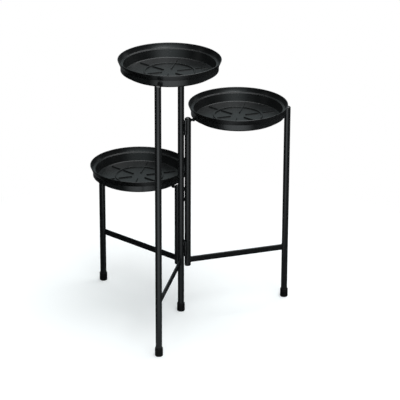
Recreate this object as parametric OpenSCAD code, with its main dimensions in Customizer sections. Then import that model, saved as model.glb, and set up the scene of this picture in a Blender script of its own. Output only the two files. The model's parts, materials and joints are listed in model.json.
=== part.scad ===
// Folding plant stand with three tiers. Three hinged tube frames share one hinge post,
// and each frame carries a round saucer in a steel hoop that tilts on two pivot pins.
// Millimetres, +Z up, origin on the floor under the hinge post.
// The tall frame runs along -Y; the middle and low frames open away from it.

/* [Tiers] */
// Height of the tall frame's post tops above the floor
tall_top = 703; // [620:1:900]
// Height of the middle frame's post tops above the floor
middle_top = 526; // [430:1:640]
// Height of the low frame's post tops above the floor
low_top = 342; // [285:1:420]
// Angle between neighbouring frames when the stand is open
open_angle = 120; // [112:1:126]

/* [Saucer] */
// Diameter over the saucer's rim
saucer_d = 249; // [200:1:300]
// Height of the saucer from its underside to its rim
saucer_h = 34.5; // [28:0.5:42]
// Wall and floor thickness of the saucer
saucer_wall = 2; // [1.6:0.1:3]
// Height of the flared lip
lip_h = 12; // [8:0.5:16]
// How far the lip flares outwards over its height
lip_flare = 5.5; // [3:0.5:10]
// Width of the ledge between the lip and the lower wall
ledge_w = 5.5; // [4:0.5:7]
// How far the lower wall draws in towards the floor
wall_taper = 6; // [2:0.5:10]
// Corner radius between the lower wall and the floor
floor_corner_r = 4; // [2.5:0.5:6]

/* [Saucer ribs] */
// Number of radial ribs on the saucer floor
rib_count = 6; // [4:1:12]
// Height of the ribs above the saucer floor
rib_h = 2.8; // [0.8:0.1:3.5]
// Width of a rib at its foot
rib_foot_w = 4; // [3:0.1:6]
// Width of a rib's flat top
rib_top_w = 1.6; // [1:0.1:2.5]
// Radius of the ring rib
ring_rib_r = 60; // [50:1:70]
// Distance of a radial rib's inner end from the saucer's centre
inner_rib_start = 19; // [12:1:26]
// Clear gap between the ring rib and the radial ribs on each side of it
ring_rib_gap = 5; // [3:0.5:8]
// Length of the radial ribs outside the ring rib
outer_rib_len = 32; // [15:1:35]

/* [Tubes and rails] */
// Outer diameter of the posts
tube_d = 16; // [13:0.5:20]
// Wall thickness of the posts
tube_wall = 1.2; // [1:0.1:2]
// Height of the crossrails' centre line above the floor
rail_z = 140; // [115:1:170]
// Height of the flat-oval crossrail
rail_h = 16; // [11:0.5:19]
// Thickness of the flat-oval crossrail
rail_t = 5; // [4:0.5:6.5]
// Wall thickness of the crossrail
rail_wall = 1; // [0.8:0.1:1.4]
// Height of the two inner posts' lower ends above the floor
inner_post_foot_z = 124.5; // [100:0.5:128]

/* [Caps and feet] */
// Height of the domed cap on each post
cap_h = 3.5; // [2.5:0.1:5]
// Length of a post cap's stem inside the post
cap_stem = 14; // [12:0.5:20]
// Thickness of the rounded plug under an inner post
plug_h = 3; // [2:0.1:5]
// Length of a lower plug's stem inside the post
plug_stem = 10; // [6:0.5:16]
// Wall of a plug or cap stem
stem_wall = 1.6; // [1.2:0.1:2.5]
// Wall of a foot round its post
foot_wall = 2; // [1.5:0.25:5]
// Height of a foot
foot_h = 22; // [16:0.5:30]
// Thickness of the sole under the post
foot_sole = 4; // [2.5:0.5:7]
// Radial clearance of stems, feet and pressed pins
seat_clearance = 0.05; // [0.02:0.01:0.08]

/* [Saucer hoops] */
// Distance of the hoop's outside from the foot of the saucer's lip
hoop_inset = 1.2; // [0.6:0.1:2]
// Thickness of the hoop's strip
hoop_t = 1.5; // [1:0.1:2.5]
// Height of the hoop's lower edge above the saucer's underside
hoop_rise = 7.5; // [6:0.5:12]
// Width of the hoop's ear round a pivot pin
ear_w = 9; // [8.5:0.5:12]

/* [Saucer pivots] */
// Diameter of a pivot pin
pivot_d = 5; // [4:0.1:6]
// Depth of the pivot axis below the post top
pivot_drop = 8.5; // [7.5:0.1:11]
// Height of the pivot axis above the saucer's underside
pivot_rise = 5; // [4.5:0.1:8]
// Distance between a post and the hoop
pivot_gap = 6.2; // [4:0.1:14]
// Diameter of a pivot pin's collar between the post and the hoop
pivot_collar_d = 7; // [6.5:0.1:9]
// Diameter of a pivot pin's head inside the hoop
pivot_head_d = 8; // [7:0.1:9]
// Thickness of a pivot pin's head
pivot_head_h = 1.8; // [1:0.1:2.5]
// End play between the hoop and a pivot pin's head or collar
hoop_play = 0.2; // [0.15:0.05:0.5]
// Radial running clearance of the pivots and hinges
running_clearance = 0.06; // [0.02:0.01:0.1]

/* [Hinges] */
// Outer diameter of a hinge barrel
barrel_d = 8.5; // [7:0.5:10]
// Length of a hinge barrel
barrel_len = 38; // [30:1:50]
// Diameter of a hinge pin
hinge_pin_d = 4; // [3:0.1:5]
// Gap between neighbouring knuckles
knuckle_gap = 0.4; // [0.3:0.1:1]
// Width of the welded tab between a knuckle and its post
tab_w = 4; // [3:0.5:5]
// Gap between a barrel and the post that it turns against
barrel_gap = 0.35; // [0.3:0.05:1]
// Depth of an upper barrel below its frame's post top
upper_barrel_drop = 5; // [3:0.5:12]
// Height of a lower barrel above the crossrail
lower_barrel_rise = 7; // [4:0.5:16]
// Gap between the hinge post and the middle frame's inner post
middle_post_gap = 2; // [1:0.1:4]
// Gap between the hinge post and the low frame's inner post
low_post_gap = 0.6; // [0.5:0.1:1.2]
// Direction of the rear hinge seen from the hinge post
rear_hinge_dir = 82; // [80:1:86]
// Height of a hinge pin's heads
pin_head_h = 1; // [0.6:0.1:2]
// Diameter of a hinge pin's heads
pin_head_d = 6; // [5:0.5:7]

/* [Hidden] */
$fn = 96;

POST_COLOUR = "#2a2d2f";
TRIM_COLOUR = "#17181a";
PIN_COLOUR = "#3b3f42";
SAUCER_COLOUR = "#232425";

// Radii and lengths that follow from the sizes above
tube_r = tube_d / 2;
bore_r = tube_r - tube_wall;
stem_r = bore_r - seat_clearance;
saucer_r = saucer_d / 2;
lip_foot_r = saucer_r - lip_flare;
ledge_r = lip_foot_r - ledge_w;
hoop_r = lip_foot_r - hoop_inset;
post_spacing = 2 * (hoop_r + pivot_gap + tube_r);

// Directions in which the frames run from the hinge post
tall_dir = -90;
middle_dir = tall_dir + open_angle;
low_dir = middle_dir + open_angle;

// Distance from a post's centre to the barrel that lies against it
reach = tube_r + barrel_gap + barrel_d / 2;
middle_pitch = tube_d + middle_post_gap;
low_pitch = tube_d + low_post_gap;
hinge_post_at = [0, 0];
middle_at = polar(middle_pitch, middle_dir);
front_hinge_at = polar(reach, middle_dir - acos(middle_pitch / 2 / reach));
rear_hinge_at = polar(reach, rear_hinge_dir);
low_at = polar(low_pitch, rear_hinge_dir + acos(low_pitch / 2 / reach));

// Heights of the hinge barrels' lower ends
lower_barrel_z = rail_z + rail_h / 2 + lower_barrel_rise;
middle_upper_barrel_z = middle_top - upper_barrel_drop - barrel_len;
low_upper_barrel_z = low_top - upper_barrel_drop - barrel_len;
MIDDLE_BARRELS = [lower_barrel_z, middle_upper_barrel_z];
LOW_BARRELS = [lower_barrel_z, low_upper_barrel_z];

// A barrel is three knuckles: the outer two are shorter than the middle one
end_knuckle_len = barrel_len * 0.27;
mid_knuckle_len = barrel_len - 2 * end_knuckle_len - 2 * knuckle_gap;

function polar(r, a) = [r * cos(a), r * sin(a)];

module in_tall_frame() {
    translate(hinge_post_at) rotate(tall_dir) children();
}

module in_middle_frame() {
    translate(middle_at) rotate(middle_dir) children();
}

module in_low_frame() {
    translate(low_at) rotate(low_dir) children();
}

// Inner post at the frame's origin, outer post one spacing along its X axis
module at_outer_post() {
    translate([post_spacing, 0, 0]) children();
}

// Round tube from z_low to z_high, with a pivot hole that faces +X or -X
module post(z_low, top, hole_side) {
    z_high = top - cap_h;
    difference() {
        translate([0, 0, z_low]) cylinder(r = tube_r, h = z_high - z_low);
        translate([0, 0, z_low - 1]) cylinder(r = bore_r, h = z_high - z_low + 2);
        translate([0, 0, top - pivot_drop])
            rotate([0, 90 * hole_side, 0])
                cylinder(d = pivot_d + 2 * seat_clearance, h = tube_d, $fn = 48);
    }
}

// Domed cap whose stem is drilled for the pivot pin
module post_cap(top, hole_side) {
    dome_r = (tube_r * tube_r + cap_h * cap_h) / (2 * cap_h);
    translate([0, 0, top - cap_h])
        rotate_extrude() intersection() {
            translate([0, cap_h - dome_r]) circle(r = dome_r);
            square([tube_r, cap_h]);
        }
    difference() {
        translate([0, 0, top - cap_h - cap_stem]) cylinder(r = stem_r, h = cap_stem);
        translate([0, 0, top - pivot_drop])
            rotate([0, 90 * hole_side, 0]) translate([0, 0, -stem_r / 2])
                cylinder(d = pivot_d + 2 * seat_clearance, h = tube_d, $fn = 48);
    }
}

module post_caps(top) {
    post_cap(top, 1);
    at_outer_post() post_cap(top, -1);
}

// Rounded plug with a hollow stem in an inner post's lower end
module end_plug() {
    edge_r = plug_h * 0.6;
    translate([0, 0, inner_post_foot_z]) rotate_extrude() {
        translate([0, edge_r]) square([tube_r, plug_h - edge_r]);
        square([tube_r - edge_r, plug_h]);
        intersection() {
            translate([tube_r - edge_r, edge_r]) circle(r = edge_r);
            square([tube_r, edge_r]);
        }
        translate([stem_r - stem_wall, plug_h]) square([stem_wall, plug_stem]);
    }
}

// Cup-shaped foot: a straight sole with a rounded shoulder round the post
module foot() {
    foot_r = tube_r + foot_wall;
    sole_edge = foot_sole * 0.3;
    shoulder_h = foot_h * 0.22;
    shoulder_r = foot_wall - seat_clearance - 0.8;
    difference() {
        rotate_extrude() {
            polygon([
                [0, 0],
                [foot_r - sole_edge, 0],
                [foot_r, sole_edge],
                [foot_r, foot_h - shoulder_h - 0.5],
                [foot_r - 0.5, foot_h - shoulder_h],
                [foot_r, foot_h - shoulder_h + 0.5],
                [foot_r, foot_h - shoulder_r],
                [foot_r - shoulder_r, foot_h],
                [0, foot_h]
            ]);
            translate([foot_r - shoulder_r, foot_h - shoulder_r]) circle(r = shoulder_r, $fn = 48);
        }
        translate([0, 0, foot_sole]) cylinder(r = tube_r + seat_clearance, h = foot_h);
    }
}

// Flat oval with its long side upright, outline only
module rail_outline(inset) {
    straight = rail_h - rail_t;
    square([straight, rail_t - 2 * inset], center = true);
    for (side = [-1, 1]) {
        translate([side * straight / 2, 0]) circle(d = rail_t - 2 * inset, $fn = 48);
    }
}

// Crossrail whose ends are coped to sit on both posts
module rail() {
    difference() {
        translate([0, 0, rail_z])
            rotate([0, 90, 0]) linear_extrude(height = post_spacing) difference() {
                rail_outline(0);
                rail_outline(rail_wall);
            }
        for (x = [0, post_spacing]) {
            translate([x, 0, rail_z - rail_h]) cylinder(r = tube_r, h = 2 * rail_h);
        }
    }
}

// Headed pins that are pressed into the posts and carry one hoop
module pivot_pins(top) {
    inside_post = stem_r / 2;
    pin_len = inside_post + tube_r + pivot_gap + hoop_t + hoop_play;
    for (side = [0, 1]) {
        translate([side * post_spacing, 0, top - pivot_drop])
            mirror([side, 0, 0]) rotate([0, 90, 0]) translate([0, 0, -inside_post]) {
                cylinder(d = pivot_d, h = pin_len, $fn = 48);
                translate([0, 0, inside_post + tube_r])
                    cylinder(d = pivot_collar_d, h = pivot_gap - hoop_play, $fn = 48);
                translate([0, 0, pin_len]) cylinder(d = pivot_head_d, h = pivot_head_h, $fn = 48);
            }
    }
}

// One knuckle round a hinge axis, with the tab that is welded to a post
module knuckle(hinge_at, post_at, z, len) {
    to_post = post_at - hinge_at;
    distance = norm(to_post);
    translate([hinge_at[0], hinge_at[1], z]) rotate(atan2(to_post[1], to_post[0]))
        difference() {
            union() {
                rotate(180) cylinder(d = barrel_d, h = len, $fn = 48);
                translate([0, -tab_w / 2, 0]) cube([distance - tube_r / 2, tab_w, len]);
            }
            translate([0, 0, -1]) rotate(180)
                cylinder(d = hinge_pin_d + 2 * running_clearance, h = len + 2, $fn = 48);
            translate([distance, 0, -1]) cylinder(r = tube_r, h = len + 2);
        }
}

// The two outer knuckles of each barrel
module outer_knuckles(barrels, hinge_at, post_at) {
    for (z = barrels) {
        knuckle(hinge_at, post_at, z, end_knuckle_len);
        knuckle(hinge_at, post_at, z + barrel_len - end_knuckle_len, end_knuckle_len);
    }
}

// The one middle knuckle of each barrel
module inner_knuckles(barrels, hinge_at, post_at) {
    for (z = barrels) {
        knuckle(hinge_at, post_at, z + end_knuckle_len + knuckle_gap, mid_knuckle_len);
    }
}

// Headed pin through each barrel
module hinge_pins(barrels, hinge_at) {
    for (z = barrels) {
        translate([hinge_at[0], hinge_at[1], z]) {
            cylinder(d = hinge_pin_d, h = barrel_len, $fn = 48);
            for (head_z = [-pin_head_h, barrel_len]) {
                translate([0, 0, head_z]) cylinder(d = pin_head_d, h = pin_head_h, $fn = 48);
            }
        }
    }
}

// Half section of the saucer's shell, from the floor to the rolled rim
module saucer_section() {
    wall_foot_r = ledge_r - wall_taper;
    ledge_z = saucer_h - lip_h;
    rim_bead_r = saucer_wall * 0.6;
    corner = floor_corner_r;
    difference() {
        union() {
            polygon([
                [0, 0],
                [wall_foot_r - corner, 0],
                [wall_foot_r, corner],
                [ledge_r, ledge_z - saucer_wall],
                [lip_foot_r, ledge_z - saucer_wall],
                [saucer_r, saucer_h - rim_bead_r],
                [saucer_r - saucer_wall, saucer_h],
                [0, saucer_h]
            ]);
            intersection() {
                translate([wall_foot_r - corner, corner]) circle(r = corner, $fn = 48);
                translate([wall_foot_r - corner, 0]) square(corner);
            }
            translate([saucer_r - rim_bead_r, saucer_h - rim_bead_r])
                circle(r = rim_bead_r, $fn = 32);
        }
        polygon([
            [0, saucer_wall],
            [wall_foot_r - corner, saucer_wall],
            [wall_foot_r - saucer_wall, corner + 0.8],
            [ledge_r - saucer_wall, ledge_z],
            [lip_foot_r - saucer_wall, ledge_z],
            [saucer_r - 2 * rim_bead_r, saucer_h - rim_bead_r],
            [saucer_r - 2 * rim_bead_r, saucer_h + 1],
            [0, saucer_h + 1]
        ]);
    }
}

// Trapezoid that every rib shares: flat top, sloping flanks
module rib_outline() {
    polygon([
        [-rib_foot_w / 2, -0.2],
        [rib_foot_w / 2, -0.2],
        [rib_top_w / 2, rib_h],
        [-rib_top_w / 2, rib_h]
    ]);
}

module radial_rib(start, len) {
    translate([start, 0, 0]) rotate([90, 0, 90]) linear_extrude(height = len) rib_outline();
}

module saucer_ribs() {
    inner_len = ring_rib_r - ring_rib_gap - inner_rib_start;
    rotate_extrude() translate([ring_rib_r, 0]) rib_outline();
    for (i = [0 : rib_count - 1]) {
        rotate(i * 360 / rib_count) {
            radial_rib(inner_rib_start, inner_len);
            radial_rib(ring_rib_r + ring_rib_gap, outer_rib_len);
        }
    }
}

// Saucer with its underside at z = 0
module saucer() {
    rotate_extrude($fn = 180) saucer_section();
    translate([0, 0, saucer_wall]) saucer_ribs();
}

// Upright strip under the saucer's ledge, with a drilled ear at each end of its X axis
module hoop() {
    hoop_top = saucer_h - lip_h - saucer_wall;
    difference() {
        intersection() {
            difference() {
                cylinder(r = hoop_r, h = hoop_top, $fn = 180);
                translate([0, 0, -1]) cylinder(r = hoop_r - hoop_t, h = hoop_top + 2, $fn = 180);
            }
            union() {
                translate([-saucer_r, -saucer_r, hoop_rise])
                    cube([saucer_d, saucer_d, hoop_top - hoop_rise]);
                rotate([90, 0, 90]) linear_extrude(height = saucer_d, center = true) {
                    translate([0, pivot_rise]) circle(d = ear_w, $fn = 48);
                    translate([-ear_w / 2, pivot_rise]) square([ear_w, hoop_rise - pivot_rise + 1]);
                }
            }
        }
        translate([0, 0, pivot_rise]) rotate([0, 90, 0])
            cylinder(d = pivot_d + 2 * running_clearance, h = saucer_d, center = true, $fn = 48);
    }
}

// The hoop and saucer share this place between the posts of a frame
module at_saucer(top) {
    translate([post_spacing / 2, 0, top - pivot_drop - pivot_rise]) children();
}

// Tall frame
module hinge_post() {
    color(POST_COLOUR) in_tall_frame() post(foot_sole, tall_top, 1);
}

module tall_front_post() {
    color(POST_COLOUR) in_tall_frame() at_outer_post() post(foot_sole, tall_top, -1);
}

module tall_rail() {
    color(POST_COLOUR) in_tall_frame() rail();
}

module tall_post_caps() {
    color(TRIM_COLOUR) in_tall_frame() post_caps(tall_top);
}

module hinge_post_foot() {
    color(TRIM_COLOUR) in_tall_frame() foot();
}

module tall_front_foot() {
    color(TRIM_COLOUR) in_tall_frame() at_outer_post() foot();
}

module tall_pivot_pins() {
    color(PIN_COLOUR) in_tall_frame() pivot_pins(tall_top);
}

module hinge_post_knuckles() {
    color(POST_COLOUR) outer_knuckles(MIDDLE_BARRELS, front_hinge_at, hinge_post_at);
}

module middle_hinge_pins() {
    color(PIN_COLOUR) hinge_pins(MIDDLE_BARRELS, front_hinge_at);
}

// Middle frame
module middle_inner_post() {
    color(POST_COLOUR) in_middle_frame() post(inner_post_foot_z + plug_h, middle_top, 1);
}

module middle_outer_post() {
    color(POST_COLOUR) in_middle_frame() at_outer_post() post(foot_sole, middle_top, -1);
}

module middle_rail() {
    color(POST_COLOUR) in_middle_frame() rail();
}

module middle_post_caps() {
    color(TRIM_COLOUR) in_middle_frame() post_caps(middle_top);
}

module middle_end_plug() {
    color(TRIM_COLOUR) in_middle_frame() end_plug();
}

module middle_foot() {
    color(TRIM_COLOUR) in_middle_frame() at_outer_post() foot();
}

module middle_pivot_pins() {
    color(PIN_COLOUR) in_middle_frame() pivot_pins(middle_top);
}

module middle_front_knuckles() {
    color(POST_COLOUR) inner_knuckles(MIDDLE_BARRELS, front_hinge_at, middle_at);
}

module middle_rear_knuckles() {
    color(POST_COLOUR) outer_knuckles(LOW_BARRELS, rear_hinge_at, middle_at);
}

module low_hinge_pins() {
    color(PIN_COLOUR) hinge_pins(LOW_BARRELS, rear_hinge_at);
}

// Low frame
module low_inner_post() {
    color(POST_COLOUR) in_low_frame() post(inner_post_foot_z + plug_h, low_top, 1);
}

module low_outer_post() {
    color(POST_COLOUR) in_low_frame() at_outer_post() post(foot_sole, low_top, -1);
}

module low_rail() {
    color(POST_COLOUR) in_low_frame() rail();
}

module low_post_caps() {
    color(TRIM_COLOUR) in_low_frame() post_caps(low_top);
}

module low_end_plug() {
    color(TRIM_COLOUR) in_low_frame() end_plug();
}

module low_foot() {
    color(TRIM_COLOUR) in_low_frame() at_outer_post() foot();
}

module low_pivot_pins() {
    color(PIN_COLOUR) in_low_frame() pivot_pins(low_top);
}

module low_knuckles() {
    color(POST_COLOUR) inner_knuckles(LOW_BARRELS, rear_hinge_at, low_at);
}

// Saucers and their hoops
module tall_hoop() {
    color(POST_COLOUR) in_tall_frame() at_saucer(tall_top) hoop();
}

module middle_hoop() {
    color(POST_COLOUR) in_middle_frame() at_saucer(middle_top) hoop();
}

module low_hoop() {
    color(POST_COLOUR) in_low_frame() at_saucer(low_top) hoop();
}

module tall_saucer() {
    color(SAUCER_COLOUR) in_tall_frame() at_saucer(tall_top) saucer();
}

module middle_saucer() {
    color(SAUCER_COLOUR) in_middle_frame() at_saucer(middle_top) saucer();
}

module low_saucer() {
    color(SAUCER_COLOUR) in_low_frame() at_saucer(low_top) saucer();
}

hinge_post();
tall_front_post();
tall_rail();
tall_post_caps();
hinge_post_foot();
tall_front_foot();
tall_pivot_pins();
hinge_post_knuckles();
middle_hinge_pins();
middle_inner_post();
middle_outer_post();
middle_rail();
middle_post_caps();
middle_end_plug();
middle_foot();
middle_pivot_pins();
middle_front_knuckles();
middle_rear_knuckles();
low_hinge_pins();
low_inner_post();
low_outer_post();
low_rail();
low_post_caps();
low_end_plug();
low_foot();
low_pivot_pins();
low_knuckles();
tall_hoop();
middle_hoop();
low_hoop();
tall_saucer();
middle_saucer();
low_saucer();
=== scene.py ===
"""Looks of a folding three-tier plant stand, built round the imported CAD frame. Lengths are in metres."""
import json
import math

import bmesh
import bpy
from mathutils import Matrix, Vector

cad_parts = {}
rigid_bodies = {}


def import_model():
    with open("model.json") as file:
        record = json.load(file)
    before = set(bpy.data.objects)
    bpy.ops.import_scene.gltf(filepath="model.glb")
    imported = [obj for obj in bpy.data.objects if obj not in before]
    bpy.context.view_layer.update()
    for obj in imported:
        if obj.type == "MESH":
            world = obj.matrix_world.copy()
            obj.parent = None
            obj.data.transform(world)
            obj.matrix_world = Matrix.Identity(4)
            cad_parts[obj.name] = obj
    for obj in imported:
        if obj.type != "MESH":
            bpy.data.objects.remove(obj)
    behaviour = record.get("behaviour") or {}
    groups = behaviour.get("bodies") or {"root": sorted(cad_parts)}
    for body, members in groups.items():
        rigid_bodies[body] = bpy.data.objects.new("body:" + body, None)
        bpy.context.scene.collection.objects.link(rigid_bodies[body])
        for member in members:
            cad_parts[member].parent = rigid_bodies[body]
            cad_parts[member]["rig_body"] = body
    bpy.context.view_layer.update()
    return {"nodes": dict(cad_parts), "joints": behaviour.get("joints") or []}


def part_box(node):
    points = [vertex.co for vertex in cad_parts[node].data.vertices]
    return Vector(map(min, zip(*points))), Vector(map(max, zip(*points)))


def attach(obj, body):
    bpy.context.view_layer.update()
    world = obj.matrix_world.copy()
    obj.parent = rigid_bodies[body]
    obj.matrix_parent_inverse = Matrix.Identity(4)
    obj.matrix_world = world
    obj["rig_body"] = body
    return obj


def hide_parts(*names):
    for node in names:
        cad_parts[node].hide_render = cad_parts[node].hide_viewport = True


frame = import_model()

UP = Vector((0, 0, 1))


# ---------------------------------------------------------------- sizes, from the frame

def size_of(node):
    low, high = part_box(node)
    return high - low


def foot_point(node):
    """Point on the floor under the middle of an upright node."""
    low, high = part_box(node)
    return Vector(((low.x + high.x) / 2, (low.y + high.y) / 2, 0))


TUBE_R = size_of("hinge_post").y / 2
RAIL_T = size_of("tall_rail").x
RAIL_H = size_of("tall_rail").z
RAIL_Z = (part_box("tall_rail")[0].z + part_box("tall_rail")[1].z) / 2
SAUCER_R = size_of("tall_saucer").x / 2
SAUCER_H = size_of("tall_saucer").z
FOOT_R = size_of("hinge_post_foot").x / 2
FOOT_H = size_of("hinge_post_foot").z

TIERS = {
    "tall": ("hinge_post", "tall_front_post"),
    "middle": ("middle_inner_post", "middle_outer_post"),
    "low": ("low_inner_post", "low_outer_post"),
}
SPACING = (foot_point("tall_front_post") - foot_point("hinge_post")).length
JOINTS = {joint["name"]: joint for joint in frame["joints"]}


def tier_place(tier):
    """Matrix of a tier's own frame: origin on the floor under its inner post, X towards its outer post."""
    inner, outer = (foot_point(node) for node in TIERS[tier])
    along = (outer - inner).normalized()
    across = UP.cross(along)
    turn = Matrix((along, across, UP)).transposed().to_4x4()
    return Matrix.Translation(inner) @ turn


def top_of(tier):
    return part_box(tier + "_post_caps")[1].z


# ---------------------------------------------------------------- geometry, kept as (points, faces)

def rounded(corners, steps=5):
    """Outline through corners (x, y, radius), each corner turned into an arc of its radius."""
    outline = []
    for index, (x, y, radius) in enumerate(corners):
        here = Vector((x, y))
        if radius == 0:
            outline.append(here)
            continue
        before = (Vector(corners[index - 1][:2]) - here).normalized()
        after = (Vector(corners[(index + 1) % len(corners)][:2]) - here).normalized()
        half = before.angle(after) / 2
        centre = here + (before + after).normalized() * radius / math.sin(half)
        start = here + before * radius / math.tan(half) - centre
        end = here + after * radius / math.tan(half) - centre
        turn = math.atan2(start.x * end.y - start.y * end.x, start.dot(end))
        for step in range(steps + 1):
            outline.append(centre + Matrix.Rotation(turn * step / steps, 2) @ start)
    return outline


def skin(rows, closed):
    """Faces between neighbouring rows of point numbers. Each row is a ring."""
    faces = []
    following = rows[1:] + rows[:1] if closed else rows[1:]
    for row, after in zip(rows, following):
        count = len(row)
        for k in range(count):
            loop = [row[k], row[(k + 1) % count], after[(k + 1) % count], after[k]]
            loop = list(dict.fromkeys(loop))
            if len(loop) > 2:
                faces.append(loop)
    return faces


def lathe(outline, turns=72):
    """Solid of revolution round Z. The outline is a closed loop of (radius, height) points."""
    points, rows = [], []
    for radius, height in outline:
        if radius < 1e-7:
            rows.append([len(points)] * turns)
            points.append(Vector((0, 0, height)))
            continue
        rows.append(list(range(len(points), len(points) + turns)))
        for k in range(turns):
            angle = math.tau * k / turns
            points.append(Vector((radius * math.cos(angle), radius * math.sin(angle), height)))
    return points, skin(rows, closed=True)


def bead(path, radii, closed, sides=12):
    """Round bead along a path of points, with its own radius at each point."""
    points, rows = [], []
    count = len(path)
    normal = None
    for index, here in enumerate(path):
        ahead = path[(index + 1) % count] if closed or index + 1 < count else here
        behind = path[index - 1] if closed or index else here
        along = (ahead - behind).normalized()
        if normal is None:
            normal = along.orthogonal()
        normal = (normal - along * normal.dot(along)).normalized()
        side = along.cross(normal)
        rows.append(list(range(len(points), len(points) + sides)))
        for k in range(sides):
            angle = math.tau * k / sides
            points.append(here + (normal * math.cos(angle) + side * math.sin(angle)) * radii[index])
    faces = skin(rows, closed)
    if not closed:
        faces += [rows[0], rows[-1]]
    return points, faces


def moved(geometry, matrix):
    points, faces = geometry
    return [matrix @ point for point in points], faces


def joined(parts):
    """Several geometries as one."""
    points, faces = [], []
    for part_points, part_faces in parts:
        start = len(points)
        points += part_points
        faces += [[start + number for number in face] for face in part_faces]
    return points, faces


# ---------------------------------------------------------------- pieces

def piece(name, geometry, place, body, material, replaces=(), crease=32):
    """One shown piece, in place, riding on its body."""
    points, faces = moved(geometry, place)
    mesh = bpy.data.meshes.new(name)
    mesh.from_pydata([tuple(point) for point in points], [], faces)
    face_outwards(mesh)
    mesh.polygons.foreach_set("use_smooth", [True] * len(mesh.polygons))
    mesh.set_sharp_from_angle(angle=math.radians(crease))
    mesh.materials.append(material)
    shown = bpy.data.objects.new(name, mesh)
    bpy.context.scene.collection.objects.link(shown)
    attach(shown, body)
    if replaces:
        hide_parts(*replaces)


def face_outwards(mesh):
    work = bmesh.new()
    work.from_mesh(mesh)
    bmesh.ops.recalc_face_normals(work, faces=work.faces)
    work.to_mesh(mesh)
    work.free()


# Welds: a bead with regular ripples
RIPPLE_PITCH = 0.0011
RIPPLE_DEPTH = 0.13


def rippled(radius, turns):
    """Radius of a weld bead after a number of ripples."""
    return radius * (1 + RIPPLE_DEPTH * math.sin(math.tau * turns))


# Saucer, in its own frame: underside at z = 0, pivots along X
WALL = 0.002
LIP_H = 0.012
LIP_FLARE = 0.0055
LEDGE_W = 0.0055
WALL_TAPER = 0.006
RIM_R = 0.0011

# Ribs on the saucer's floor: one ring and six spokes in two stretches
RIB_COUNT = 6
RIB_H = 0.0028
RIB_FOOT_W = 0.004
RIB_FLANK_W = 0.00078
RIB_CORNER_R = 0.0012
RING_RIB_R = 0.060
INNER_RIB = (0.019, 0.055)
OUTER_RIB = (0.065, 0.097)

# Mesh lines of the floor: offsets from a rib's middle line, and how many steps lie between two ribs
RIB_LINES = [0, 0.0004, 0.0008, 0.0010, 0.0012, 0.0014, 0.0016, 0.0018, 0.0020, 0.0023, 0.0028]
LINES_BETWEEN = 22
FINE_STEP = 0.00035
COARSE_STEP = 0.0021
FINE_REACH = 0.0022

# Underside: raised feet in rings, and the mark of the mould's gate in the middle
UNDER_STEP = 0.0006
OUTER_FOOT_W = 0.012
FOOT_RINGS = (0.060, 0.012)

# Hoop under the saucer's ledge
HOOP_INSET = 0.0012
HOOP_T = 0.0015
HOOP_RISE = 0.0075


def rib_profile(inside):
    """Height of a rib at a distance inside its foot line."""
    share = min(max(inside / RIB_FLANK_W, 0), 1)
    return RIB_H * share * share * (3 - 2 * share)


def radial_rib(along, across, start, end):
    """Height of one radial rib at a point, with its ends rounded in plan."""
    over_x = abs(along - (start + end) / 2) - (end - start) / 2 + RIB_CORNER_R
    over_y = abs(across) - RIB_FOOT_W / 2 + RIB_CORNER_R
    outside = math.hypot(max(over_x, 0), max(over_y, 0)) + min(max(over_x, over_y), 0) - RIB_CORNER_R
    return rib_profile(-outside)


def rib_height(radius, across):
    """Height of the ribs at a radius and a distance from the nearest spoke's middle line."""
    ring = rib_profile(RIB_FOOT_W / 2 - abs(radius - RING_RIB_R))
    along = math.sqrt(max(radius * radius - across * across, 0))
    spokes = [radial_rib(along, across, *ends) for ends in (INNER_RIB, OUTER_RIB)]
    return max(ring, *spokes)


def column_angles(radius):
    """Angles of all mesh lines at a radius, each with its distance from the nearest rib's middle line."""
    sector = math.tau / RIB_COUNT
    narrowest = 0.012
    close = [math.asin(offset / max(radius, narrowest)) for offset in RIB_LINES]
    gap = sector - 2 * close[-1]
    angles = []
    for rib in range(RIB_COUNT):
        middle = rib * sector
        for angle in close:
            angles.append((middle + angle, radius * math.sin(angle)))
        for step in range(1, LINES_BETWEEN):
            angle = close[-1] + gap * step / LINES_BETWEEN
            angles.append((middle + angle, radius * math.sin(min(angle, sector - angle))))
        for angle in reversed(close[1:]):
            angles.append((middle + sector - angle, radius * math.sin(angle)))
    return angles


def floor_radii(end):
    """Radii of the floor's mesh rings, closer together across the ring rib and at the rib ends."""
    marks = [*INNER_RIB, *OUTER_RIB, RING_RIB_R - RIB_FOOT_W / 2, RING_RIB_R + RIB_FOOT_W / 2]
    radius = 0.003
    radii = [radius]
    while radius < end - 0.0015:
        nearest = min(abs(radius - mark) for mark in marks)
        radius += FINE_STEP if nearest < FINE_REACH else COARSE_STEP
        radii.append(radius)
    radii[-1] = end
    return radii


def foot_ring(radius):
    """Corners of one raised ring under the saucer, from its outer side inwards, with sides at 45 degrees."""
    half_w, corner = 0.0014, 0.0004
    return [
        (radius + half_w + UNDER_STEP, UNDER_STEP, corner),
        (radius + half_w, 0.0, corner),
        (radius - half_w, 0.0, corner),
        (radius - half_w - UNDER_STEP, UNDER_STEP, corner),
    ]


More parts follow.
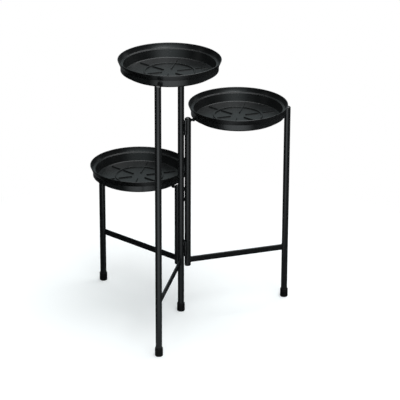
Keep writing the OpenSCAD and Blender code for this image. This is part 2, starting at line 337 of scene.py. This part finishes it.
def saucer_section():
    """Half section as (radius, height, is_floor), from the middle of the floor round to the underside."""
    lip_foot = SAUCER_R - LIP_FLARE
    ledge = lip_foot - LEDGE_W
    foot_edge = ledge - WALL_TAPER
    ledge_z = SAUCER_H - LIP_H
    wall = rounded([
        (0.0, WALL, 0),
        (foot_edge - 0.0022, WALL, 0.0018),
        (ledge - WALL, ledge_z, 0.0009),
        (lip_foot - WALL + 0.0004, ledge_z, 0.0009),
        (SAUCER_R - 2 * RIM_R, SAUCER_H - RIM_R, 0),
    ], steps=6)[1:-1]
    rim_centre = Vector((SAUCER_R - RIM_R, SAUCER_H - RIM_R))
    rim = [
        rim_centre + Vector((-math.cos(angle), math.sin(angle))) * RIM_R
        for angle in [math.pi * step / 14 for step in range(17)]
    ]
    outside = rounded([
        (SAUCER_R, SAUCER_H - 2 * RIM_R, 0),
        (lip_foot, ledge_z - WALL, 0.0010),
        (ledge, ledge_z - WALL, 0.0008),
        (foot_edge, 0.0, 0.0040),
        (foot_edge - OUTER_FOOT_W, 0.0, 0.0004),
        (foot_edge - OUTER_FOOT_W - UNDER_STEP, UNDER_STEP, 0.0004),
        *foot_ring(FOOT_RINGS[0]),
        *foot_ring(FOOT_RINGS[1]),
        (0.0, UNDER_STEP, 0),
    ], steps=4)[1:-1]
    floor = [(0.0, WALL, True)] + [(radius, WALL, True) for radius in floor_radii(wall[0].x)[:-1]]
    shell = [(point.x, point.y, False) for point in wall + rim + outside]
    gate = [(0.0022, UNDER_STEP, False), (0.0020, 0.0002, False), (0.0, 0.0002, False)]
    return floor + shell + gate


def saucer_shell():
    """The section turned round Z, with the ribs raised on its floor."""
    points, rows = [], []
    for radius, height, is_floor in saucer_section():
        columns = column_angles(radius)
        if radius < 1e-7:
            rows.append([len(points)] * len(columns))
            points.append(Vector((0, 0, height)))
            continue
        rows.append(list(range(len(points), len(points) + len(columns))))
        for angle, across in columns:
            lift = rib_height(radius, across) if is_floor else 0
            points.append(Vector((radius * math.cos(angle), radius * math.sin(angle), height + lift)))
    return points, skin(rows, closed=True)


def saucer_place(tier):
    return tier_place(tier) @ Matrix.Translation((SPACING / 2, 0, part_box(tier + "_saucer")[0].z))


def make_saucer(tier, material):
    piece(tier + "_saucer_body", saucer_shell(), saucer_place(tier), tier + "_tray",
          material, [tier + "_saucer"])


def hoop_seam(tier, material):
    """Weld where the hoop's strip closes: a rippled bead up its inside."""
    low, high = HOOP_RISE + 0.0007, SAUCER_H - LIP_H - WALL - 0.0006
    radius = SAUCER_R - LIP_FLARE - HOOP_INSET - HOOP_T
    count, ripples, bead_r = 48, 10, 0.0009
    path, radii = [], []
    for step in range(count + 1):
        share = step / count
        swell = 0.6 + 0.4 * min(1, 8 * min(share, 1 - share))
        path.append(Vector((0, radius, low + (high - low) * share)))
        radii.append(rippled(bead_r * swell, share * ripples))
    turned = saucer_place(tier) @ Matrix.Rotation(math.radians(35), 4, "Z")
    piece(tier + "_hoop_seam", bead(path, radii, closed=False, sides=10), turned, tier + "_tray",
          material)


def soften(node, width):
    """Small bevel on the sharp edges of a CAD node."""
    bevel = frame["nodes"][node].modifiers.new("soft_edges", "BEVEL")
    bevel.width = width
    bevel.segments = 2
    bevel.limit_method = "ANGLE"
    bevel.angle_limit = math.radians(40)
    bevel.harden_normals = True


def foot():
    """Rubber foot: chamfered sole with a tread ring, a groove under the shoulder, a rounded mouth."""
    shoulder = FOOT_H * 0.78
    groove = 0.0006
    inside = TUBE_R + 0.00005
    sole = 0.004
    return lathe(rounded([
        (0.0, 0.0008, 0),
        (FOOT_R * 0.48, 0.0008, 0.0003),
        (FOOT_R * 0.52, 0.0, 0.0003),
        (FOOT_R - 0.0012, 0.0, 0.0004),
        (FOOT_R, 0.0014, 0.0010),
        (FOOT_R, shoulder - 0.0005, 0.0002),
        (FOOT_R - groove, shoulder, 0.0002),
        (FOOT_R, shoulder + 0.0005, 0.0002),
        (FOOT_R, FOOT_H, 0.0014),
        (inside, FOOT_H, 0.0003),
        (inside, sole, 0),
        (0.0, sole, 0),
    ], steps=6), turns=96)


def cap_dome(height):
    """Domed cap, rounded under at its edge."""
    crown = (TUBE_R * TUBE_R + height * height) / (2 * height)
    reach = math.asin(TUBE_R / crown)
    steps = 14
    arc = [reach * (1 - step / steps) for step in range(steps + 1)]
    dome = [Vector((crown * math.sin(angle), crown * math.cos(angle) - crown + height)) for angle in arc]
    edge = [Vector((0.0, -0.0004)), Vector((TUBE_R - 0.0005, -0.0004)), Vector((TUBE_R - 0.0001, -0.0001))]
    return lathe(edge + dome[1:], turns=72)


def make_caps(tier, material):
    height = 0.0035
    base = top_of(tier) - height
    caps = joined([moved(cap_dome(height), Matrix.Translation((x, 0, base))) for x in (0, SPACING)])
    piece(tier + "_cap_domes", caps, tier_place(tier), tier + "_frame", material,
          [tier + "_post_caps"])


def rail_weld(x, towards):
    """Rippled weld bead round the rail where it meets a post."""
    straight = (RAIL_H - RAIL_T) / 2
    count, bead_r = 150, 0.0012
    path, radii, run = [], [], 0.0
    for step in range(count):
        turn = math.tau * step / count
        y = RAIL_T / 2 * math.cos(turn)
        z = RAIL_T / 2 * math.sin(turn) + straight * max(-1, min(1, 3 * math.sin(turn)))
        out = math.sqrt(TUBE_R ** 2 - y ** 2)
        here = Vector((x + towards * out, y, RAIL_Z + z))
        run += (here - path[-1]).length if path else 0
        path.append(here)
        radii.append(rippled(bead_r, run / RIPPLE_PITCH))
    return bead(path, radii, closed=True, sides=10)


def make_welds(tier, material):
    welds = joined([rail_weld(0, 1), rail_weld(SPACING, -1)])
    piece(tier + "_rail_welds", welds, tier_place(tier), tier + "_frame", material)


# Hinges: a barrel is three knuckles on a headed pin
BARREL_LEN = 0.038
BARREL_R = 0.00425
END_KNUCKLE = BARREL_LEN * 0.27
KNUCKLE_GAP = 0.0004
TAB_W = 0.004
PIN_R = 0.002
PIN_PLAY = 0.00006
PIN_HEAD_R = 0.003
PIN_HEAD_H = 0.001


def knuckle_ring(length):
    """Drilled barrel of one knuckle, with softened ends."""
    hole_r = PIN_R + PIN_PLAY
    return lathe(rounded([
        (hole_r, 0.0, 0.0003),
        (BARREL_R, 0.0, 0.0005),
        (BARREL_R, length, 0.0005),
        (hole_r, length, 0.0003),
    ], steps=4), turns=64)


def tab(distance, length):
    """Plate from the barrel to the post, along +X, ending inside the post's wall."""
    start, end = BARREL_R - 0.0008, distance - TUBE_R + 0.0006
    side, inset = TAB_W / 2, 0.0006
    outline = [(start, -side), (end, -side), (end, side), (start, side)]
    points = [Vector((x, y, z)) for z in (inset, length - inset) for x, y in outline]
    rows = [[0, 1, 2, 3], [4, 5, 6, 7]]
    return points, skin(rows, closed=False) + rows


def tab_weld(distance, length, side):
    """Weld bead in the groove between a barrel and its post, tapered at both ends."""
    bead_r, inset = 0.0011, 0.0008
    count = max(12, int(length / 0.00025))
    path, radii = [], []
    for step in range(count + 1):
        share = step / count
        z = inset + (length - 2 * inset) * share
        swell = 0.65 + 0.35 * min(1, 8 * min(share, 1 - share))
        path.append(Vector((distance - TUBE_R - 0.0001, side * (TAB_W / 2 + 0.0002), z)))
        radii.append(rippled(bead_r * swell, z / RIPPLE_PITCH))
    return bead(path, radii, closed=False, sides=10)


def knuckles(axis, post, heights, length):
    """Knuckles of one length round a hinge axis, each welded to the post."""
    to_post = post - axis
    to_post.z = 0
    turn = Matrix.Rotation(math.atan2(to_post.y, to_post.x), 4, "Z")
    one = joined([
        knuckle_ring(length),
        tab(to_post.length, length),
        tab_weld(to_post.length, length, 1),
        tab_weld(to_post.length, length, -1),
    ])
    return joined([
        moved(one, Matrix.Translation((axis.x, axis.y, z)) @ turn) for z in heights
    ])


def hinge_pin(axis, z):
    """Pin with a domed head just clear of each end of its barrel."""
    clear, dome = 0.0001, 0.0009
    outline = rounded([
        (0.0, -PIN_HEAD_H, 0),
        (PIN_HEAD_R, -PIN_HEAD_H, dome),
        (PIN_HEAD_R, -clear, 0),
        (PIN_R, -clear, 0),
        (PIN_R, BARREL_LEN + clear, 0),
        (PIN_HEAD_R, BARREL_LEN + clear, 0),
        (PIN_HEAD_R, BARREL_LEN + PIN_HEAD_H, dome),
        (0.0, BARREL_LEN + PIN_HEAD_H, 0),
    ])
    return moved(lathe(outline, turns=48), Matrix.Translation((axis.x, axis.y, z)))


def make_hinge(joint, outer, inner, pins, steel, pin_metal):
    """Two barrels on one axis. outer and inner are (node, body, post) of the end and middle knuckles."""
    axis = Vector(JOINTS[joint]["pos_m"])
    low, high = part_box(outer[0])
    barrels = [low.z, high.z - BARREL_LEN]
    inner_len = BARREL_LEN - 2 * END_KNUCKLE - 2 * KNUCKLE_GAP
    ends = [z + step for z in barrels for step in (0, BARREL_LEN - END_KNUCKLE)]
    middles = [z + END_KNUCKLE + KNUCKLE_GAP for z in barrels]
    for (node, body, post), heights, length in ((outer, ends, END_KNUCKLE), (inner, middles, inner_len)):
        made = knuckles(axis, foot_point(post), heights, length)
        piece(node + "_welded", made, Matrix(), body, steel, [node])
    made = joined([hinge_pin(axis, z) for z in barrels])
    body = frame["nodes"][pins]["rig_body"]
    piece(pins + "_headed", made, Matrix(), body, pin_metal, [pins])


def end_plug():
    """Rounded plug under an inner post."""
    height = 0.003
    return lathe(rounded([
        (0.0, 0.0, 0),
        (TUBE_R, 0.0, 0.0018),
        (TUBE_R, height - 0.0002, 0.0002),
        (TUBE_R - 0.0006, height, 0),
        (0.0, height, 0),
    ], steps=7), turns=72)


# ---------------------------------------------------------------- materials

def new_material(name):
    material = bpy.data.materials.new(name)
    material.use_nodes = True
    tree = material.node_tree
    shader = tree.nodes["Principled BSDF"]
    return material, tree, shader


def node(tree, kind, links=None, **settings):
    """Adds a node. links maps input names to sockets or values, settings are the node's own properties."""
    made = tree.nodes.new(kind)
    for key, value in settings.items():
        setattr(made, key, value)
    for key, value in (links or {}).items():
        if isinstance(value, bpy.types.NodeSocket):
            tree.links.new(value, made.inputs[key])
        else:
            made.inputs[key].default_value = value
    return made


def place_of(tree):
    return node(tree, "ShaderNodeTexCoord").outputs["Object"]


def noise(tree, place, scale, detail=3.0, roughness=0.55):
    links = {"Vector": place, "Scale": scale, "Detail": detail, "Roughness": roughness}
    return node(tree, "ShaderNodeTexNoise", links).outputs["Fac"]


def ranged(tree, value, low_in, high_in, low_out, high_out):
    links = {"Value": value, "From Min": low_in, "From Max": high_in, "To Min": low_out, "To Max": high_out}
    return node(tree, "ShaderNodeMapRange", links).outputs["Result"]


def maths(tree, operation, *values):
    return node(tree, "ShaderNodeMath", dict(enumerate(values)), operation=operation).outputs[0]


def mixed(tree, share, first, second):
    made = node(tree, "ShaderNodeMix", data_type="RGBA")
    for index, value in ((0, share), (6, first), (7, second)):
        if isinstance(value, bpy.types.NodeSocket):
            tree.links.new(value, made.inputs[index])
        else:
            made.inputs[index].default_value = value
    return made.outputs[2]


def grey(level, tint=(1.0, 1.0, 1.0)):
    return (level * tint[0], level * tint[1], level * tint[2], 1.0)


def bumped(tree, shader, *layers):
    """Stacks (height, distance) layers of bump and links them to the shader."""
    normal = None
    for height, distance in layers:
        links = {"Height": height, "Distance": distance, "Strength": 1.0}
        if normal is not None:
            links["Normal"] = normal
        normal = node(tree, "ShaderNodeBump", links).outputs["Normal"]
    tree.links.new(normal, shader.inputs["Normal"])


# Tint of the blacks and of what they mirror, and the refraction of the coat and the plastic
COOL = (0.94, 1.0, 1.03)
GLOSS_IOR = 1.5


def powder_coat():
    """Black powder coat on steel: orange peel, fine speckle, edges a little lighter in patches, partly as
    rubbed wear and partly as a painted edge highlight.
    """
    material, tree, shader = new_material("powder_coated_steel")
    place = place_of(tree)
    patches = noise(tree, place, 14.0, 4.0)
    speckle = ranged(tree, noise(tree, place, 2600.0, 1.0), 0.45, 0.75, 0.0, 1.0)
    body = mixed(tree, patches, grey(0.0036, COOL), grey(0.0052, COOL))
    fleck = mixed(tree, maths(tree, "MULTIPLY", speckle, 0.35), body, grey(0.016, COOL))
    # Painted highlight and wear: convex edges, found by pointiness, are made lighter in noisy patches. This
    # stands partly for rubbed coat and partly for the light that edges catch.
    pointed = node(tree, "ShaderNodeNewGeometry").outputs["Pointiness"]
    edge = ranged(tree, pointed, 0.56, 0.66, 0.0, 0.5)
    worn_and_highlit_edges = maths(tree, "MULTIPLY", edge, noise(tree, place, 160.0, 4.0))
    tree.links.new(mixed(tree, worn_and_highlit_edges, fleck, grey(0.030, COOL)), shader.inputs["Base Color"])
    rough = maths(tree, "ADD", ranged(tree, patches, 0.3, 0.7, 0.17, 0.22),
                  ranged(tree, noise(tree, place, 420.0), 0.3, 0.7, -0.03, 0.05))
    tree.links.new(rough, shader.inputs["Roughness"])
    peel = noise(tree, place, 620.0, 2.0, 0.5)
    grain = noise(tree, place, 3000.0, 2.0)
    bumped(tree, shader, (peel, 0.000008), (grain, 0.000003))
    shader.inputs["IOR"].default_value = GLOSS_IOR
    return material


def from_saucer_axis(tree):
    """Distance from a saucer's axis, worked out from its place in its own box."""
    in_box = node(tree, "ShaderNodeTexCoord").outputs["Generated"]
    links = {0: in_box, 1: (2 * SAUCER_R,) * 3, 2: (-SAUCER_R,) * 3}
    centred = node(tree, "ShaderNodeVectorMath", links, operation="MULTIPLY_ADD").outputs[0]
    split = node(tree, "ShaderNodeSeparateXYZ", {"Vector": centred}).outputs
    across, along = (maths(tree, "MULTIPLY", split[axis], split[axis]) for axis in "XY")
    return maths(tree, "SQRT", maths(tree, "ADD", across, along))


def saucer_plastic():
    """Moulded plastic: satin spark-eroded grain, faint rings from turning the mould, light scuffs."""
    material, tree, shader = new_material("moulded_saucer_plastic")
    place = place_of(tree)
    patches = noise(tree, place, 22.0, 5.0, 0.6)
    ring_place = node(tree, "ShaderNodeCombineXYZ", {"X": from_saucer_axis(tree)}).outputs[0]
    rings = noise(tree, ring_place, 700.0, 3.0, 0.7)
    body = mixed(tree, patches, grey(0.0042, COOL), grey(0.0062, COOL))
    scratches = ranged(tree, noise(tree, place, 55.0, 8.0, 0.75), 0.60, 0.78, 0.0, 0.35)
    tree.links.new(mixed(tree, scratches, body, grey(0.012, COOL)), shader.inputs["Base Color"])
    rough = maths(tree, "ADD", ranged(tree, patches, 0.3, 0.7, 0.25, 0.33),
                  ranged(tree, rings, 0.35, 0.65, -0.03, 0.03))
    tree.links.new(rough, shader.inputs["Roughness"])
    grain = noise(tree, place, 2400.0, 2.0, 0.6)
    bumped(tree, shader, (rings, 0.000004), (grain, 0.000005))
    shader.inputs["IOR"].default_value = GLOSS_IOR
    return material


def cap_plastic():
    """Hard black plastic of the caps and plugs: fine even grain, a few rub marks."""
    material, tree, shader = new_material("moulded_cap_plastic")
    place = place_of(tree)
    patches = noise(tree, place, 180.0, 4.0)
    tree.links.new(mixed(tree, patches, grey(0.0035), grey(0.0055)), shader.inputs["Base Color"])
    rough = ranged(tree, noise(tree, place, 320.0, 5.0, 0.7), 0.3, 0.75, 0.22, 0.40)
    tree.links.new(rough, shader.inputs["Roughness"])
    bumped(tree, shader, (noise(tree, place, 1900.0, 2.0), 0.000008))
    return material


def foot_rubber():
    """Matt black rubber, dusty towards the sole."""
    material, tree, shader = new_material("black_rubber")
    place = place_of(tree)
    height = node(tree, "ShaderNodeSeparateXYZ", {"Vector": place}).outputs["Z"]
    low = ranged(tree, height, 0.0, 0.006, 1.0, 0.0)
    specks = ranged(tree, noise(tree, place, 380.0, 5.0, 0.7), 0.4, 0.7, 0.0, 0.3)
    dust = maths(tree, "MULTIPLY", low, specks)
    body = mixed(tree, noise(tree, place, 260.0, 3.0), grey(0.0035), grey(0.0055))
    tree.links.new(mixed(tree, dust, body, grey(0.060, (1.0, 0.95, 0.88))), shader.inputs["Base Color"])
    rough = ranged(tree, noise(tree, place, 900.0, 3.0), 0.3, 0.7, 0.38, 0.52)
    tree.links.new(rough, shader.inputs["Roughness"])
    bumped(tree, shader, (noise(tree, place, 1500.0, 3.0, 0.6), 0.000018))
    shader.inputs["Specular IOR Level"].default_value = 0.16
    return material


def pin_steel():
    """Black-finished steel, with the finish rubbed through in patches."""
    material, tree, shader = new_material("blackened_pin_steel")
    place = place_of(tree)
    patches = noise(tree, place, 700.0, 4.0, 0.65)
    worn = ranged(tree, noise(tree, place, 330.0, 6.0, 0.7), 0.56, 0.74, 0.0, 0.5)
    body = mixed(tree, patches, grey(0.030, COOL), grey(0.060, COOL))
    tree.links.new(mixed(tree, worn, body, grey(0.22, COOL)), shader.inputs["Base Color"])
    tree.links.new(ranged(tree, patches, 0.3, 0.7, 0.30, 0.46), shader.inputs["Roughness"])
    bumped(tree, shader, (noise(tree, place, 2200.0, 2.0), 0.000006))
    shader.inputs["Metallic"].default_value = 0.85
    return material


# ---------------------------------------------------------------- studio

# Camera: fitted to the photograph
VIEW_AZIMUTH = math.radians(11.26)
VIEW_ELEVATION = math.radians(22.49)
VIEW_ROLL = math.radians(0.206)
VIEW_DISTANCE = 5.474
AIM_RIGHT = 0.0479
AIM_HEIGHT = 0.3063
SENSOR_MM = 36.0
LENS_MM = 196.06

# Floor: how much it glows to the eye, and how bright glossy surfaces see it on each side
FLOOR_HALF = 20.0
FLOOR_LIFT = 0.235
CARD_FRONT = 1.3
CARD_BACK = 0.12
CARD_RIGHT = 0.06
CARD_DARK = 0.004

# Walls of the room, as light
WALL_BACK = 0.34
WALL_FRONT = 0.95
WALL_RIGHT = 0.02
WALL_DARK = 0.004
WALL_TINT = (0.86, 1.0, 1.02)
LIGHT_TINT = (0.975, 1.0, 1.01)

RIGHT = Vector((math.cos(VIEW_AZIMUTH), math.sin(VIEW_AZIMUTH), 0))
AWAY = Vector((-math.sin(VIEW_AZIMUTH), math.cos(VIEW_AZIMUTH), 0))


def studio_point(right, away, height):
    """A point given from the hinge post's foot, in metres to the camera's right, away from it and up."""
    return RIGHT * right + AWAY * away + UP * height


def make_camera():
    back = -AWAY * math.cos(VIEW_ELEVATION) + UP * math.sin(VIEW_ELEVATION)
    level_up = back.cross(RIGHT)
    right = RIGHT * math.cos(VIEW_ROLL) + level_up * math.sin(VIEW_ROLL)
    up = level_up * math.cos(VIEW_ROLL) - RIGHT * math.sin(VIEW_ROLL)
    data = bpy.data.cameras.new("camera")
    data.sensor_width = SENSOR_MM
    data.lens = LENS_MM
    camera = bpy.data.objects.new("camera", data)
    bpy.context.scene.collection.objects.link(camera)
    aim = studio_point(AIM_RIGHT, 0, AIM_HEIGHT)
    turn = Matrix((right, up, back)).transposed().to_4x4()
    camera.matrix_world = Matrix.Translation(aim + back * VIEW_DISTANCE) @ turn
    bpy.context.scene.camera = camera


def softbox(name, place, width, height, power):
    """Area light that faces the middle of the stand."""
    data = bpy.data.lights.new(name, "AREA")
    data.shape = "RECTANGLE"
    data.size, data.size_y = width, height
    data.energy = power
    data.color = LIGHT_TINT
    light = bpy.data.objects.new(name, data)
    bpy.context.scene.collection.objects.link(light)
    light.location = place
    target = studio_point(0.0, 0.0, 0.35)
    light.rotation_euler = (target - place).to_track_quat("-Z", "Y").to_euler()


def compass(tree, place):
    """How far a direction points to the camera's right and away from it, each from -1 to 1."""
    links = {0: place, 1: (1.0, 1.0, 0.0)}
    flat = node(tree, "ShaderNodeVectorMath", links, operation="MULTIPLY").outputs[0]
    facing = node(tree, "ShaderNodeVectorMath", {0: flat}, operation="NORMALIZE").outputs[0]
    right = node(tree, "ShaderNodeVectorMath", {0: facing, 1: RIGHT}, operation="DOT_PRODUCT")
    away = node(tree, "ShaderNodeVectorMath", {0: facing, 1: AWAY}, operation="DOT_PRODUCT")
    return right.outputs["Value"], away.outputs["Value"]


def glow(tree, color, strength):
    return node(tree, "ShaderNodeEmission", {"Color": color, "Strength": strength}).outputs[0]


def mirrored_floor(tree, place, distance):
    """The floor as glossy surfaces see it: a pale card in front, faint ones back left and at the right."""
    right, away = compass(tree, place)
    front = maths(tree, "MULTIPLY", ranged(tree, away, -0.74, -0.985, CARD_DARK, CARD_FRONT),
                  ranged(tree, distance, 0.35, 1.1, 0.30, 1.0))
    side = ranged(tree, right, 0.45, 0.95, 0.0, CARD_RIGHT)
    back = maths(tree, "MULTIPLY", ranged(tree, away, 0.45, 0.85, 0.0, CARD_BACK),
                 ranged(tree, right, 0.3, -0.1, 0.0, 1.0))
    card = maths(tree, "ADD", maths(tree, "ADD", front, side), back)
    return glow(tree, grey(1.0, COOL), card)


def make_floor():
    """Pale floor with soft shadows, fading to plain white away from the stand."""
    mesh = bpy.data.meshes.new("studio_floor")
    half = FLOOR_HALF
    corners = [(-half, -half, 0), (half, -half, 0), (half, half, 0), (-half, half, 0)]
    mesh.from_pydata(corners, [], [(0, 1, 2, 3)])
    material, tree, shader = new_material("studio_floor")
    place = place_of(tree)
    distance = node(tree, "ShaderNodeVectorMath", {0: place}, operation="LENGTH").outputs["Value"]
    tone = noise(tree, place, 3.0, 2.0)
    tree.links.new(mixed(tree, tone, grey(0.80), grey(0.82)), shader.inputs["Base Color"])
    shader.inputs["Roughness"].default_value = 0.9
    shader.inputs["Specular IOR Level"].default_value = 0.1

    paint = shader.outputs[0]
    lift = glow(tree, grey(1.0), FLOOR_LIFT)
    lifted = node(tree, "ShaderNodeAddShader", {0: paint, 1: lift}).outputs[0]
    white = glow(tree, grey(1.0), 1.0)
    far = ranged(tree, distance, 0.45, 0.9, 0.0, 1.0)
    seen = node(tree, "ShaderNodeMixShader", {0: far, 1: lifted, 2: white}).outputs[0]
    mirrored = mirrored_floor(tree, place, distance)
    rays = node(tree, "ShaderNodeLightPath").outputs
    links = {0: rays["Is Glossy Ray"], 1: paint, 2: mirrored}
    lit = node(tree, "ShaderNodeMixShader", links).outputs[0]
    links = {0: rays["Is Camera Ray"], 1: lit, 2: seen}
    shown = node(tree, "ShaderNodeMixShader", links).outputs[0]
    tree.links.new(shown, tree.nodes["Material Output"].inputs["Surface"])

    mesh.materials.append(material)
    floor = bpy.data.objects.new("studio_floor", mesh)
    bpy.context.scene.collection.objects.link(floor)


def make_world():
    """White to the eye; as a light it is dim, with pale walls behind the stand and high in front of it."""
    world = bpy.data.worlds.new("studio_world")
    bpy.context.scene.world = world
    world.use_nodes = True
    tree = world.node_tree
    direction = node(tree, "ShaderNodeTexCoord").outputs["Generated"]
    right, away = compass(tree, direction)
    height = node(tree, "ShaderNodeSeparateXYZ", {"Vector": direction}).outputs["Z"]
    back = ranged(tree, away, 0.3, 1.0, WALL_DARK, WALL_BACK)
    side = ranged(tree, right, 0.4, 1.0, 0.0, WALL_RIGHT)
    front = maths(tree, "MULTIPLY", ranged(tree, away, -0.65, -0.97, 0.0, WALL_FRONT),
                  ranged(tree, height, 0.15, 0.45, 0.0, 1.0))
    walls = maths(tree, "ADD", maths(tree, "ADD", back, side), front)
    room = mixed(tree, walls, grey(0.0), grey(1.0, WALL_TINT))
    to_eye = node(tree, "ShaderNodeLightPath").outputs["Is Camera Ray"]
    tree.links.new(mixed(tree, to_eye, room, grey(1.0)), tree.nodes["Background"].inputs["Color"])


def make_lights():
    softbox("overhead_light", studio_point(0.45, 0.05, 2.7), width=2.8, height=2.8, power=84)
    softbox("key_light", studio_point(0.8, -2.4, 3.2), width=1.8, height=1.8, power=34)
    softbox("rim_light", studio_point(2.0, 1.3, 1.3), width=0.7, height=1.6, power=1.5)
    softbox("side_light", studio_point(-2.2, -0.6, 1.6), width=0.6, height=0.9, power=0.5)


# ---------------------------------------------------------------- build

def main():
    make_camera()
    steel, plastic = powder_coat(), saucer_plastic()
    caps, rubber, pin_metal = cap_plastic(), foot_rubber(), pin_steel()
    finishes = {
        "post_steel": steel,
        "saucer_plastic": plastic,
        "cap_plastic": caps,
        "foot_rubber": rubber,
        "pin_steel": pin_metal,
    }
    for shown in frame["nodes"].values():
        for holder in shown.material_slots:
            holder.material = finishes[holder.material.name.split(".")[0]]

    for tier in TIERS:
        make_saucer(tier, plastic)
        hoop_seam(tier, steel)
        soften(tier + "_hoop", 0.0004)
        soften(tier + "_pivot_pins", 0.0003)
        make_caps(tier, caps)
        make_welds(tier, steel)
    feet = {
        "hinge_post_foot": "tall_frame",
        "tall_front_foot": "tall_frame",
        "middle_foot": "middle_frame",
        "low_foot": "low_frame",
    }
    for name, body in feet.items():
        piece(name + "_cup", foot(), Matrix.Translation(foot_point(name)), body, rubber,
              [name])
    for tier in ("middle", "low"):
        name = tier + "_end_plug"
        place = tier_place(tier) @ Matrix.Translation((0, 0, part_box(name)[0].z))
        piece(name + "_rounded", end_plug(), place, tier + "_frame", caps, [name])

    make_hinge("middle_swing", ("hinge_post_knuckles", "tall_frame", "hinge_post"),
               ("middle_front_knuckles", "middle_frame", "middle_inner_post"),
               "middle_hinge_pins", steel, pin_metal)
    make_hinge("low_swing", ("middle_rear_knuckles", "middle_frame", "middle_inner_post"),
               ("low_knuckles", "low_frame", "low_inner_post"),
               "low_hinge_pins", steel, pin_metal)

    make_floor()
    make_world()
    make_lights()
    bpy.context.scene.view_settings.view_transform = "Standard"


main()
